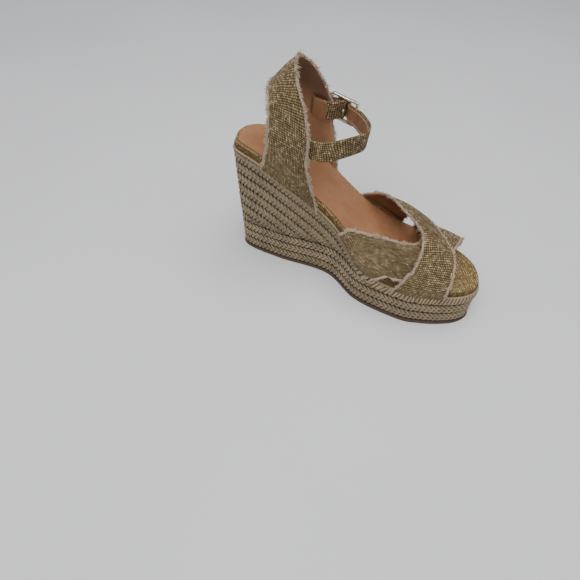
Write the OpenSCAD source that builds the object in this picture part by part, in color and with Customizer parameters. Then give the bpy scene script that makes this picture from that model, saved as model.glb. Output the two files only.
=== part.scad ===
// Espadrille wedge sandal for the left foot: braided jute wedge, crossed canvas vamp straps,
// heel band and buckled ankle strap. X runs to the toe, Y to the outer side, Z up, floor at Z = 0.

/* [Sole] */
// Length of the sole on the floor
sole_len = 228; // [205:1:255]
// Width of the sole on the floor across the ball
ball_w = 86; // [74:1:100]
// Height of the jute at the back of the heel
heel_h = 103; // [80:1:125]
// Height of the jute under the ball of the foot
platform_h = 29; // [22:1:36]
// Thickness of the rubber outsole
outsole_t = 2.5; // [1.5:0.5:4]
// Depth of a braid from its face to the core
jute_t = 6; // [4:0.5:8]
// Depth of the groove between two braids
groove_d = 1.8; // [0.8:0.1:2.6]
// Gap between neighbouring glued pieces
glue_gap = 0.12; // [0.05:0.01:0.3]

/* [Footbed] */
// Thickness of the insole board
board_t = 2; // [1:0.1:3]
// Thickness of the footbed foam
foam_t = 3.4; // [2:0.1:5]
// Thickness of the fabric wrapped over the footbed
cover_t = 0.9; // [0.6:0.1:1.4]
// Thickness of the leather sock
sock_t = 1.1; // [0.8:0.1:1.6]
// Fabric rim left uncovered around the sock
sock_margin = 3; // [2:0.5:5]
// Set-back of the footbed from the edge of the jute
rim_inset = 1.6; // [1:0.1:3]
// Where the sock ends under the vamp, from the heel
sock_end = 186; // [170:1:200]

/* [Upper] */
// Thickness of the canvas
canvas_t = 1.2; // [0.8:0.1:1.8]
// Thickness of the leather lining
lining_t = 0.8; // [0.5:0.1:1.2]
// Outward crown across a strap
strap_crown = 2.5; // [0:0.5:4]
// Stand-off of the strap ends from the edge of the footbed
base_gap = 0.5; // [0.3:0.1:1]
// Side of the leather patch inside the heel band
patch_w = 17; // [14:1:20]

/* [Ankle strap] */
// Width of the ankle strap
strap_w = 15; // [12:0.5:18]
// Length of the slot that the prong passes through
slot_len = 7.4; // [7:0.1:9]
// Width of that slot
slot_w = 2.4; // [2:0.1:3]

/* [Buckle] */
// Length of the buckle frame along the strap
buckle_len = 26; // [25:0.5:30]
// Width of the frame's rails
rail_w = 2; // [1.6:0.1:2.6]
// Thickness of the frame's rails
rail_t = 2.2; // [2:0.1:2.6]
// Play between the strap and the frame's side rails
side_play = 0.8; // [0.5:0.1:1.5]
// Radius of the centre bar
bar_r = 0.8; // [0.6:0.05:0.9]
// Running clearance of what turns on the bar
bar_play = 0.05; // [0.02:0.01:0.1]
// Radius of the prong
prong_r = 0.8; // [0.6:0.05:0.9]
// Wall of the loops that turn on the bar
loop_wall = 1.1; // [0.8:0.1:1.2]

/* [Hidden] */

// Level braids around the platform and sloping braids around the wedge, one node each
platform_rows = 3;
wedge_rows = 7;
// The upper's pattern and the outlines are drawn for this sole and graded to the one above
ref_len = 228;
ref_w = 86;
len_k = sole_len / ref_len;
wid_k = ball_w / ref_w;

// ---- curves -------------------------------------------------------------
function mix(a, b, t) = a + (b - a) * t;
function unit(v) = v / norm(v);
function clamp(v, lo, hi) = min(hi, max(lo, v));
// Catmull-Rom curve through four points
function blend4(a, b, c, d, t) =
  0.5 * (2 * b + (c - a) * t + (2 * a - 5 * b + 4 * c - d) * t * t + (3 * b - a - 3 * c + d) * t * t * t);
// Point at t, in steps of one point, on a closed curve
function on_loop(pts, t) =
  let (n = len(pts), i = floor(t), f = t - i)
  blend4(pts[(i - 1 + n) % n], pts[i % n], pts[(i + 1) % n], pts[(i + 2) % n], f);
// Point at t, from 0 to 1, on an open curve
function on_curve(pts, t) =
  let (n = len(pts) - 1, s = clamp(t * n, 0, n - 0.000001), i = floor(s), f = s - i)
  blend4(pts[max(i - 1, 0)], pts[i], pts[i + 1], pts[min(i + 2, n)], f);
// Height over x of a smooth profile of [x, z] points
function on_profile(pts, x) =
  let (n = len(pts), xc = clamp(x, pts[0][0], pts[n - 1][0]),
       i = min(n - 2, max([for (k = [0:n - 2]) pts[k][0] <= xc ? k : 0])),
       h = pts[i + 1][0] - pts[i][0], f = (xc - pts[i][0]) / h,
       slope = (pts[i + 1][1] - pts[i][1]) / h,
       m0 = i == 0 ? slope : (pts[i + 1][1] - pts[i - 1][1]) / (pts[i + 1][0] - pts[i - 1][0]),
       m1 = i == n - 2 ? slope : (pts[i + 2][1] - pts[i][1]) / (pts[i + 2][0] - pts[i][0]))
  (1 + 2 * f) * (1 - f) * (1 - f) * pts[i][1] + f * (1 - f) * (1 - f) * h * m0
  + f * f * (3 - 2 * f) * pts[i + 1][1] - f * f * (1 - f) * h * m1;

// ---- the last: outlines and height of the footbed ------------------------
// Outline on the floor: heel back, outer side, toe tip, inner side
floor_line = [
  [-3, -1.5], [0.5, 11], [11, 22], [45, 31], [85, 29.5], [125, 36], [164, 43], [194, 33], [211, 21],
  [220.5, 7.5], [224.5, -6.5], [220, -18], [209, -28], [191, -37.5], [171, -43], [130, -40.5], [94, -24],
  [46, -28.6], [10, -27.8], [0.3, -15.8]
];
// Outline of the top edge of the jute, point for point
top_line = [
  [-9.5, -3], [-5.5, 10], [7, 20.5], [42, 32.5], [85, 32.5], [125, 38.5], [164, 41.5], [193, 32], [210.5, 21],
  [219.5, 8], [223, -7], [217.5, -18.5], [204.5, -27.5], [186, -34.5], [166, -39], [127, -37], [95, -20],
  [43, -25.5], [1.5, -25], [-7, -15]
];
// Index of the toe tip in both outlines
toe_i = 10;
// Share of the heel's rise that is left along the length
rise_line = [
  [-10, 1], [20, 0.907], [50, 0.727], [80, 0.474], [110, 0.197], [140, 0.04], [170, 0], [224, 0.045]
];
ball_x = 168 * len_k;
function top_z(x) = platform_h + (heel_h - platform_h) * on_profile(rise_line, x / len_k);

side_n = 34;
ring_n = 2 * side_n;
// Place of ring point i along an outline: outer side first, heel to toe, then toe to heel
function ring_t(i, pts) =
  i <= side_n ? toe_i * i / side_n : toe_i + (len(pts) - toe_i) * (i - side_n) / side_n;
function graded(p) = [p[0] * len_k, p[1] * wid_k];
function ring_of(pts) = [for (i = [0:ring_n - 1]) graded(on_loop(pts, ring_t(i, pts) % len(pts)))];
floor_ring = ring_of(floor_line);
top_ring = ring_of(top_line);
// Outward normal of a ring at point i
function ring_out(ring, i) =
  let (a = ring[(i - 1 + ring_n) % ring_n], b = ring[(i + 1) % ring_n], d = unit(b - a))
  [-d[1], d[0]];
top_out = [for (i = [0:ring_n - 1]) ring_out(top_ring, i)];
top_h = [for (p = top_ring) top_z(p[0])];
// Point on the sole's side at ring place i and height z, moved out by d
function side_pt(i, z, d) =
  let (q = mix(floor_ring[i], top_ring[i], z / top_h[i]) + top_out[i] * d)
  [q[0], q[1], z];
// Ring of the footbed's outline, set in by d and h above the jute
function bed_ring(d, h) =
  [for (i = [0:ring_n - 1]) let (q = top_ring[i] - top_out[i] * d) [q[0], q[1], top_z(q[0]) + h]];

box_x = [for (p = concat(floor_ring, top_ring)) p[0]];
box_y = [for (p = concat(floor_ring, top_ring)) p[1]];
// The origin is under the middle of the sole's box
mid_x = (min(box_x) + max(box_x)) / 2;
mid_y = (min(box_y) + max(box_y)) / 2;

// ---- solids from rings and grids ------------------------------------------
// Faces of a cap over ring points that start at index o; up faces the normal upward
function cap_faces(o, up) =
  let (f = concat([[0, 1, ring_n - 1]],
       [for (i = [1:side_n - 2]) each [[i, i + 1, ring_n - i], [i + 1, ring_n - i - 1, ring_n - i]]],
       [[side_n - 1, side_n, side_n + 1]]))
  [for (t = f) up ? [t[0] + o, t[1] + o, t[2] + o] : [t[2] + o, t[1] + o, t[0] + o]];
// Faces of the wall from ring a (low) to ring b (high), facing out or in
function wall_faces(a, b, out) =
  [for (i = [0:ring_n - 1]) let (j = (i + 1) % ring_n)
   each out ? [[a + i, b + j, b + i], [a + i, a + j, b + j]]
            : [[a + i, b + i, b + j], [a + i, b + j, a + j]]];
// Solid between a low and a high ring, its wall divided into levels
module ring_plate(low, high, levels = 1) {
  rings = [for (k = [0:levels]) for (i = [0:ring_n - 1]) mix(low[i], high[i], k / levels)];
  walls = [for (k = [0:levels - 1]) each wall_faces(k * ring_n, (k + 1) * ring_n, true)];
  polyhedron(rings, concat(cap_faces(0, false), walls, cap_faces(levels * ring_n, true)), convexity = 6);
}
// Tray turned over: a skin over the top and round the side
module ring_tray(out_low, out_high, in_low, in_high) {
  polyhedron(concat(out_low, out_high, in_low, in_high),
    concat(wall_faces(0, ring_n, true), cap_faces(ring_n, true), wall_faces(2 * ring_n, 3 * ring_n, false),
      cap_faces(3 * ring_n, false), wall_faces(0, 2 * ring_n, false)), convexity = 6);
}
// Bar swept along sections of k points each; closed joins the last section to the first
module swept(sections, closed) {
  n = len(sections);
  k = len(sections[0]);
  last = closed ? n - 1 : n - 2;
  sides = [for (i = [0:last]) for (j = [0:k - 1])
    let (a = i * k + j, b = i * k + (j + 1) % k, c = ((i + 1) % n) * k + (j + 1) % k, d = ((i + 1) % n) * k + j)
    each [[a, b, c], [a, c, d]]];
  first_cap = [for (j = [1:k - 2]) [0, j + 1, j]];
  last_cap = [for (j = [1:k - 2]) [(n - 1) * k, (n - 1) * k + j, (n - 1) * k + j + 1]];
  polyhedron([for (s = sections) each s], closed ? sides : concat(sides, first_cap, last_cap), convexity = 8);
}
// Skin between the offsets lo and hi of a grid, which has rows of equal length
module skin(grid, out, lo, hi) {
  m = len(grid);
  n = len(grid[0]);
  pts = concat([for (i = [0:m - 1]) for (j = [0:n - 1]) grid[i][j] + out[i][j] * hi],
               [for (i = [0:m - 1]) for (j = [0:n - 1]) grid[i][j] + out[i][j] * lo]);
  o = m * n;
  top = [for (i = [0:m - 2]) for (j = [0:n - 2]) let (a = i * n + j)
    each [[a, a + 1, a + n + 1], [a, a + n + 1, a + n]]];
  low = [for (f = top) [f[2] + o, f[1] + o, f[0] + o]];
  edge = concat([for (j = [0:n - 2]) j], [for (i = [0:m - 2]) i * n + n - 1],
    [for (j = [n - 1:-1:1]) (m - 1) * n + j], [for (i = [m - 1:-1:1]) i * n]);
  rim = [for (k = [0:len(edge) - 1]) let (a = edge[k], b = edge[(k + 1) % len(edge)])
    each [[b, a, a + o], [b, a + o, b + o]]];
  polyhedron(pts, concat(top, low, rim), convexity = 8);
}

// ---- sole -------------------------------------------------------------------
module outsole() {
  color("#3b2a20") linear_extrude(outsole_t - glue_gap) polygon(floor_ring);
}
core_in = jute_t + glue_gap;
module wedge_core() {
  low = [for (i = [0:ring_n - 1]) side_pt(i, outsole_t, -core_in)];
  color("#b08a5a") ring_plate(low, bed_ring(core_in, -glue_gap), 5);
}
// Top of the platform's braids at ring place i
function platform_top(i) = top_ring[i][0] > ball_x ? top_h[i] : min(top_h[i], platform_h);
// Point on a braid: above the height base it follows the footbed's slope as it goes in
function braid_pt(i, z, d, base) =
  let (q = side_pt(i, z, d), k = top_h[i] > base ? (top_z(q[0]) - base) / (top_h[i] - base) : 1)
  [q[0], q[1], base + (z - base) * k];
// Six-sided braid section at ring place i between heights lo and hi
function braid_section(i, lo, hi, base) = [
  braid_pt(i, lo, -jute_t, base), braid_pt(i, lo, -groove_d, base),
  braid_pt(i, mix(lo, hi, 0.28), -0.1 * groove_d, base), braid_pt(i, mix(lo, hi, 0.72), -0.1 * groove_d, base),
  braid_pt(i, hi, -groove_d, base), braid_pt(i, hi, -jute_t, base)
];
module platform_braid(row) {
  color("#b9a47e") swept([for (i = [0:ring_n - 1])
    let (h = (platform_top(i) - outsole_t) / platform_rows, lo = outsole_t + h * row + glue_gap / 2)
    braid_section(i, lo, lo + h - glue_gap, platform_top(i) < top_h[i] ? heel_h : 0)], true);
}
wedge_pitch = (heel_h - platform_h) / wedge_rows;
least_braid = 1.6;
// Ring places of a wedge braid, from the inner side round the heel to the outer side
function wedge_places(row) = [for (k = [-side_n:side_n]) let (i = (k + ring_n) % ring_n)
  if (top_ring[i][0] < ball_x && top_h[i] - row * wedge_pitch - platform_h > least_braid) i];
module wedge_braid(row) {
  color("#b9a47e") swept([for (i = wedge_places(row))
    let (hi = top_h[i] - row * wedge_pitch, lo = max(hi - wedge_pitch, platform_h))
    braid_section(i, lo + glue_gap / 2, hi - glue_gap / 2, platform_h)], false);
}

// ---- footbed ------------------------------------------------------------------
cover_in = rim_inset + cover_t + glue_gap;
foam_top = board_t + foam_t + 2 * glue_gap;
cover_top = foam_top + glue_gap + cover_t;
module insole_board() {
  color("#c9a66b") ring_plate(bed_ring(cover_in, glue_gap), bed_ring(cover_in, board_t));
}
module footbed_foam() {
  color("#e8dcc0") ring_plate(bed_ring(cover_in, board_t + glue_gap), bed_ring(cover_in, foam_top - glue_gap));
}
module insole_cover() {
  color("#a08a4e") ring_tray(bed_ring(rim_inset, glue_gap), bed_ring(rim_inset, cover_top),
    bed_ring(cover_in - glue_gap, glue_gap), bed_ring(cover_in - glue_gap, foam_top));
}
// Share of the toe's length that the sock's front edge bows forward
sock_bow = 0.12;
function sock_x(x) = let (e = sock_end * len_k) x < e ? x : e + (x - e) * sock_bow;
// Outline of the sock: the footbed's, set in, and cut off under the vamp
function sock_ring(h) =
  [for (p = bed_ring(rim_inset + sock_margin, 0)) let (x = sock_x(p[0])) [x, p[1], top_z(x) + h]];
module sock_lining() {
  color("#a9754f") ring_plate(sock_ring(cover_top + glue_gap), sock_ring(cover_top + sock_t));
}

// ---- upper ----------------------------------------------------------------------
// Straps stand on the jute's edge with their linings just outside the footbed
strap_off = canvas_t + glue_gap + lining_t + base_gap - rim_inset;
strap_ring = [for (i = [0:ring_n]) top_ring[i % ring_n] + top_out[i % ring_n] * strap_off];
inner_edge = [for (i = [side_n:ring_n]) strap_ring[i]];
outer_edge = [for (i = [0:side_n]) strap_ring[i]];
// Point where a strap meets the sole at x, on the inner (-1) or the outer (1) side
function base_pt(x, side) = [x, lookup(x, side < 0 ? inner_edge : outer_edge), top_z(x) + glue_gap];
// Height over the jute up to which a strap rises straight, past the footbed's rim
rise_h = cover_top + 0.7;
// Point at that height on an edge that starts at x and leads to pattern point p
function rise_pt(x, p, side) =
  let (b = base_pt(mix(x, p[0] * len_k, rise_h / p[2]), side)) [b[0], b[1], b[2] + rise_h];
// Pattern point [x, y, height over the jute] graded to this sole
function pattern(p) = [p[0] * len_k, p[1] * wid_k, top_z(p[0] * len_k) + p[2]];
// Edge curve from a base on the inner side, over pattern points, to a base on the outer side
function edge_curve(x_in, pts, x_out) =
  let (a = x_in * len_k, b = x_out * len_k)
  concat([base_pt(a, -1), rise_pt(a, pts[0], -1)], [for (p = pts) pattern(p)],
    [rise_pt(b, pts[len(pts) - 1], 1), base_pt(b, 1)]);
// How closely a strap follows the sole's outline at t from its end: fully up to end_fit, not at all past end_free
end_fit = 0.09;
end_free = 0.38;
function end_share(t) = pow(clamp((end_free - t) / (end_free - end_fit), 0, 1), 1.5);
// From the straight line between base points at xa and xb to the sole's curved outline, at v along it
function off_line(xa, xb, v, side) = base_pt(mix(xa, xb, v), side) - mix(base_pt(xa, side), base_pt(xb, side), v);
// Grid between a rear and a front edge, with its ends laid along the sole
function strap_grid(rear, front, m, n, crown) =
  [for (i = [0:m]) let (t = i / m, a = on_curve(rear, t), b = on_curve(front, t), c = (a + b) / 2,
      out = unit([0, c[1], max(0, c[2] - top_z(c[0])) * 1.1 + 1]))
    [for (j = [0:n]) let (v = j / n,
        in_fix = off_line(a[0], b[0], v, -1), out_fix = off_line(a[0], b[0], v, 1))
      mix(a, b, v) + in_fix * end_share(t) + out_fix * end_share(1 - t)
      + out * crown * 4 * v * (1 - v) * sin(180 * t)]];
function grid_out(g) =
  let (m = len(g) - 1, n = len(g[0]) - 1)
  [for (i = [0:m]) [for (j = [0:n])
    let (du = g[min(i + 1, m)][j] - g[max(i - 1, 0)][j], dv = g[i][min(j + 1, n)] - g[i][max(j - 1, 0)])
    unit(cross(dv, du))]];

over_rear = edge_curve(160, [[166, -38.5, 13], [170, -33.5, 24], [171, -25, 34], [166, -11, 42.5],
  [154, 4, 41], [141, 16, 37], [129, 24, 35], [116, 29.5, 27], [105, 34, 13]], 96);
over_front = edge_curve(201, [[201, -30.5, 10.5], [200, -22.5, 21], [195, -10.5, 30.5], [186, 0, 34],
  [176, 10.5, 34.5], [166, 20, 34.5], [156, 28.5, 31], [147, 34.5, 22.5], [141.5, 38.5, 11.5]], 138);
under_rear = edge_curve(100, [[108, -23, 14.5], [122, -25, 26], [138, -26, 34.5], [153, -24.5, 38],
  [164, -18, 37], [168, -5, 35], [167, 8, 32.5], [163, 20, 29], [158, 31, 21.5], [154, 37.5, 11.5]], 151);
under_front = edge_curve(140, [[151, -39.4, 11], [160, -38.4, 11.7], [170, -34, 12.5], [180, -26.5, 19],
  [188, -13, 23.5], [192, 1, 24], [194, 13, 24.5], [195, 23, 23.5], [195.5, 30, 18.5], [195, 33, 10]], 193);
strap_m = 30;
strap_n = 5;
over_grid = strap_grid(over_rear, over_front, strap_m, strap_n, strap_crown);
under_grid = strap_grid(under_rear, under_front, strap_m, strap_n, strap_crown * 0.6);
over_out = grid_out(over_grid);
under_out = grid_out(under_grid);
lining_hi = -canvas_t - glue_gap;
lining_lo = lining_hi - lining_t;
module vamp_strap_over() {
  color("#9a8a55") skin(over_grid, over_out, -canvas_t, 0);
}
module vamp_strap_over_lining() {
  color("#8a5a3a") skin(over_grid, over_out, lining_lo, lining_hi);
}
module vamp_strap_under() {
  color("#9a8a55") skin(under_grid, under_out, -canvas_t, 0);
}
module vamp_strap_under_lining() {
  color("#8a5a3a") skin(under_grid, under_out, lining_lo, lining_hi);
}

band_rear = edge_curve(26, [[29.5, -28, 11], [33, -30, 29], [34.5, -30, 48], [32, -26, 60], [25.5, -15, 62.5],
  [21, 1, 60.5], [23, 16.5, 58.5], [28, 26.5, 53.5], [31.5, 30, 45], [31.5, 31, 28], [30, 31.5, 10]], 28);
band_front = edge_curve(76, [[70, -27.5, 26], [67.5, -30, 41], [68, -30, 58], [63, -27.5, 76], [52, -20, 87],
  [42, -2, 91], [46, 13, 85], [54, 22, 74], [59.5, 29, 58], [62.5, 31, 40], [67, 32, 22]], 71);
band_m = 40;
band_grid = strap_grid(band_rear, band_front, band_m, strap_n, 0);
band_out = grid_out(band_grid);
module heel_band() {
  color("#9a8a55") skin(band_grid, band_out, -canvas_t, 0);
}
module heel_band_lining() {
  color("#8a5a3a") skin(band_grid, band_out, lining_lo, lining_hi);
}

// ---- ankle strap -------------------------------------------------------------------
// The strap is drawn from the height of the heel band's front edge
strap_z0 = top_z(68 * len_k);
function strap_pt(p) = [p[0] * len_k, p[1] * wid_k, strap_z0 + p[2]];
// Centre of the buckle's bar, and how the buckle lies: nose down and turned to the foot
buckle_at = strap_pt([68.5, 34.5, 58]);
buckle_pitch = 5;
buckle_yaw = -9;
buckle_x = [cos(buckle_yaw) * cos(buckle_pitch), sin(buckle_yaw) * cos(buckle_pitch), -sin(buckle_pitch)];
buckle_y = [-sin(buckle_yaw), cos(buckle_yaw), 0];
function from_buckle(p) = buckle_at + buckle_x * p[0] + buckle_y * p[1];
module at_buckle() {
  translate(buckle_at) rotate([0, buckle_pitch, buckle_yaw]) children();
}
strap_t = canvas_t + glue_gap + lining_t;
// Extra room between the ankle strap's two layers, where it twists
twist_gap = 0.08;
loop_r = bar_r + bar_play + loop_wall;
// The strap passes under both end rails and over the bar
dip = rail_t / 2 + 1.1 + strap_t / 2;
hump = loop_r + 0.8 + strap_t / 2;
rail_x = buckle_len / 2 - rail_w / 2;
weave = [[rail_x + 5.5, -dip - 1.9], [rail_x, -dip], [rail_x - 4.5, -dip + 1.2], [3.6, hump - 1.3], [0, hump],
  [-3.6, hump - 1.3], [4.5 - rail_x, -dip + 1.2], [-rail_x, -dip], [-rail_x - 4, -dip + 0.2]];
strap_line = concat(
  [for (p = [[57, -24.5, 51], [68, -25.8, 52.5], [80, -27.6, 54.8], [89.5, -24.8, 58], [98, -16.8, 60],
    [103, -6.2, 59.8], [102, 3.2, 59.6], [96.6, 12, 59.4], [89.7, 19.8, 58.6]]) strap_pt(p)],
  [for (p = weave) from_buckle(p)]);
// How far the strap's top leans outward at each point of its line
strap_lean = [0, 0, 0, 0, 0, 3, 5, 6, 6, 3, 1, 0, 0, 0, 0, 0, 0, 0];
strap_steps = 96;
strap_path = [for (i = [0:strap_steps]) on_curve(strap_line, i / strap_steps)];
function path_dir(path, i) = unit(path[min(i + 1, len(path) - 1)] - path[max(i - 1, 0)]);
// Flat section of the strap at step i, between the offsets lo and hi
function strap_section(i, lo, hi) =
  let (d = path_dir(strap_path, i), level = unit(cross(d, [0, 0, 1])), rise = cross(level, d),
       lean = on_curve([for (a = strap_lean) [a]], i / strap_steps)[0], p = strap_path[i], w = strap_w / 2,
       side = level * cos(lean) - rise * sin(lean), up = rise * cos(lean) + level * sin(lean))
  [p + side * lo - up * w, p + side * lo + up * w, p + side * hi + up * w, p + side * hi - up * w];
module prong_slot() {
  at_buckle() translate([-slot_len / 2 + 0.4, bar_r, -slot_w / 2]) cube([slot_len, hump + strap_t, slot_w]);
}
module ankle_strap() {
  color("#9a8a55") difference() {
    swept([for (i = [0:strap_steps]) strap_section(i, strap_t / 2 - canvas_t, strap_t / 2)], false);
    prong_slot();
  }
}
module ankle_strap_lining() {
  color("#8a5a3a") difference() {
    swept([for (i = [0:strap_steps]) strap_section(i, -strap_t / 2, -strap_t / 2 + lining_t - twist_gap)], false);
    prong_slot();
  }
}

// ---- buckle ---------------------------------------------------------------------------
frame_h = strap_w + 2 * side_play + 2 * rail_w;
tab_t = 2.2;
// Centre line of the tab from the bar to its sewn end inside the heel band
tab_line = [[-0.6, -loop_r + 1], [-1.9, -4.8], [-4.3, -9.2], [-8, -12], [-12, -13.2], [-19, -13.4]];
// Outline of a strip that runs along a line, r to each side
function ribbon(line, r) =
  let (n = len(line) - 1,
       side = [for (i = [0:n]) let (d = unit(line[min(i + 1, n)] - line[max(i - 1, 0)])) [-d[1], d[0]] * r])
  concat([for (i = [0:n]) line[i] + side[i]], [for (i = [n:-1:0]) line[i] - side[i]]);
prong_gap = 3.2;
module buckle_tab() {
  color("#9a8a55") at_buckle() difference() {
    union() {
      translate([0, 0, -strap_w / 2]) linear_extrude(strap_w) polygon(ribbon(tab_line, tab_t / 2));
      translate([0, 0, -strap_w / 2]) cylinder(r = loop_r, h = strap_w, $fn = 48);
    }
    translate([0, 0, -strap_w]) cylinder(r = bar_r + bar_play, h = 2 * strap_w, $fn = 48);
    translate([-loop_r - 2.5, -loop_r - 3, -prong_gap / 2]) cube([2 * loop_r + 4, 2 * loop_r + 4, prong_gap]);
  }
}
patch_t = 1;
patch_r = 3;
// The patch hangs a little below the tab's middle
patch_drop = 2.5;
module tab_patch() {
  color("#8a5a3a") translate(from_buckle([-19, -15.2]) - [0, 0, patch_drop]) rotate([0, buckle_pitch, buckle_yaw])
    rotate([90, 0, 0]) linear_extrude(patch_t) {
      square([patch_w, patch_w - 2 * patch_r], center = true);
      square([patch_w - 2 * patch_r, patch_w], center = true);
      for (x = [-1, 1]) for (y = [-1, 1])
        translate([x, y] * (patch_w / 2 - patch_r)) circle(r = patch_r, $fn = 32);
    }
}
corner_r = 2.4;
module buckle_frame() {
  color("#d8c9a0") at_buckle() difference() {
    translate([0, rail_t / 2, 0]) rotate([90, 0, 0]) linear_extrude(rail_t) difference() {
      union() {
        square([buckle_len, frame_h - 2 * corner_r], center = true);
        square([buckle_len - 2 * corner_r, frame_h], center = true);
        for (x = [-1, 1]) for (y = [-1, 1])
          translate([x * (buckle_len / 2 - corner_r), y * (frame_h / 2 - corner_r)]) circle(r = corner_r, $fn = 32);
      }
      square([buckle_len - 2 * rail_w, frame_h - 2 * rail_w], center = true);
    }
    translate([0, 0, -bar_len / 2]) cylinder(r = bar_seat_r, h = bar_len, $fn = 48);
  }
}
// The bar is held in blind holes in the side rails
bar_len = frame_h - 1.4;
bar_seat_r = bar_r + 0.02;
module buckle_bar() {
  color("#cfc09a") at_buckle() translate([0, 0, -bar_len / 2 + 0.05]) cylinder(r = bar_r, h = bar_len - 0.1, $fn = 48);
}
// Centre line of the prong: out of its loop, through the strap, and onto the front rail
prong_line = [[0.3, loop_r - 0.9], [2.2, hump + strap_t / 2 + prong_r + 0.3],
  [rail_x + 0.6, rail_t / 2 + prong_r + 0.1]];
module buckle_prong() {
  color("#d8c9a0") at_buckle() difference() {
    union() {
      translate([0, 0, -prong_r * 1.3]) cylinder(r = loop_r, h = prong_r * 2.6, $fn = 48);
      translate([0, 0, -prong_r]) linear_extrude(2 * prong_r) polygon(ribbon(prong_line, prong_r));
    }
    translate([0, 0, -5]) cylinder(r = bar_r + bar_play, h = 10, $fn = 48);
  }
}

// Shoe pieces stand on the origin
module placed() {
  translate([-mid_x, -mid_y, 0]) children();
}
placed() outsole();
placed() wedge_core();
placed() platform_braid(0);  // platform_braid_1
placed() platform_braid(1);  // platform_braid_2
placed() platform_braid(2);  // platform_braid_3
placed() wedge_braid(0);  // wedge_braid_1
placed() wedge_braid(1);  // wedge_braid_2
placed() wedge_braid(2);  // wedge_braid_3
placed() wedge_braid(3);  // wedge_braid_4
placed() wedge_braid(4);  // wedge_braid_5
placed() wedge_braid(5);  // wedge_braid_6
placed() wedge_braid(6);  // wedge_braid_7
placed() insole_board();
placed() footbed_foam();
placed() insole_cover();
placed() sock_lining();
placed() vamp_strap_over();
placed() vamp_strap_over_lining();
placed() vamp_strap_under();
placed() vamp_strap_under_lining();
placed() heel_band();
placed() heel_band_lining();
placed() ankle_strap();
placed() ankle_strap_lining();
placed() buckle_tab();
placed() tab_patch();
placed() buckle_frame();
placed() buckle_bar();
placed() buckle_prong();
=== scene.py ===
import math

import bmesh
import bpy
import numpy as np
from mathutils import Matrix, Vector
from mathutils.bvhtree import BVHTree


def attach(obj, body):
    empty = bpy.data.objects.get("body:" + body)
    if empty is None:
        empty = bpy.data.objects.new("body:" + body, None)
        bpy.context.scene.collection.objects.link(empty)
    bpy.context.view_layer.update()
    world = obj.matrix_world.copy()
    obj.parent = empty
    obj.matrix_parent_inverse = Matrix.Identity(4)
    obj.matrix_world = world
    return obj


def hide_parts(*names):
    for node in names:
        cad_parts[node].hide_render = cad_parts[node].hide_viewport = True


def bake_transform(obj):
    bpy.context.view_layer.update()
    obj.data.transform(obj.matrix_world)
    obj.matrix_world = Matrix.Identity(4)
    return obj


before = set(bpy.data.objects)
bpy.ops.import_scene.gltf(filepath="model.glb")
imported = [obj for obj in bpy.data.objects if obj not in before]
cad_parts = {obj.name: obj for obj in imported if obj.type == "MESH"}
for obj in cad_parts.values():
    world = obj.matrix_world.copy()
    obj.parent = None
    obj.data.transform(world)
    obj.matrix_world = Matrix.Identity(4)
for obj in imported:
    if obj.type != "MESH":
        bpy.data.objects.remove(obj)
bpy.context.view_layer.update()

MM = 0.001
rng = np.random.default_rng(11)

# ---- driving sizes of the sole, the footbed and the upper, as in the part's source
HEEL_H, PLATFORM_H, OUTSOLE_T = 103.0, 29.0, 2.5
PLATFORM_ROWS, WEDGE_ROWS = 3, 7
BALL_X = 168.0
BOARD_T, FOAM_T, COVER_T, SOCK_T, GAP = 2.0, 3.4, 0.9, 1.1, 0.12
RIM_INSET, SOCK_MARGIN, SOCK_END, SOCK_BOW = 1.6, 3.0, 186.0, 0.12
CANVAS_T, LINING_T, BASE_GAP, CROWN = 1.2, 0.8, 0.5, 2.5
COVER_TOP = BOARD_T + FOAM_T + COVER_T + 3 * GAP
RISE_H = COVER_TOP + 0.7
STRAP_W, STRAP_T = 15.0, CANVAS_T + GAP + LINING_T
BUCKLE_LEN, RAIL_W, RAIL_T, SIDE_PLAY = 26.0, 2.0, 2.2, 0.8
BAR_R, BAR_PLAY, LOOP_WALL = 0.8, 0.05, 1.1

FLOOR_LINE = np.array([
    [-3, -1.5], [0.5, 11], [11, 22], [45, 31], [85, 29.5], [125, 36], [164, 43], [194, 33], [211, 21],
    [220.5, 7.5], [224.5, -6.5], [220, -18], [209, -28], [191, -37.5], [171, -43], [130, -40.5], [94, -24],
    [46, -28.6], [10, -27.8], [0.3, -15.8]], float)
TOP_LINE = np.array([
    [-9.5, -3], [-5.5, 10], [7, 20.5], [42, 32.5], [85, 32.5], [125, 38.5], [164, 41.5], [193, 32],
    [210.5, 21], [219.5, 8], [223, -7], [217.5, -18.5], [204.5, -27.5], [186, -34.5], [166, -39], [127, -37],
    [95, -20], [43, -25.5], [1.5, -25], [-7, -15]], float)
RISE_LINE = np.array([
    [-10, 1], [20, 0.907], [50, 0.727], [80, 0.474], [110, 0.197], [140, 0.04], [170, 0],
    [224, 0.045]], float)


# ---- curves ---------------------------------------------------------------------
def catmull(a, b, c, d, t):
    t = t[:, None]
    square, cube = 2 * a - 5 * b + 4 * c - d, 3 * b - a - 3 * c + d
    return 0.5 * (2 * b + (c - a) * t + square * t**2 + cube * t**3)


def on_loop(points, s):
    """Points at shares s of a closed curve."""
    n = len(points)
    t = np.asarray(s, float) * n
    i = np.floor(t).astype(int)
    return catmull(points[(i - 1) % n], points[i % n], points[(i + 1) % n], points[(i + 2) % n], t - i)


def on_curve(points, s):
    """Points at shares s of an open curve."""
    n = len(points) - 1
    t = np.clip(np.asarray(s, float) * n, 0, n - 1e-6)
    i = np.floor(t).astype(int)
    before, after = points[np.maximum(i - 1, 0)], points[np.minimum(i + 2, n)]
    return catmull(before, points[i], points[i + 1], after, t - i)


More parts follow.
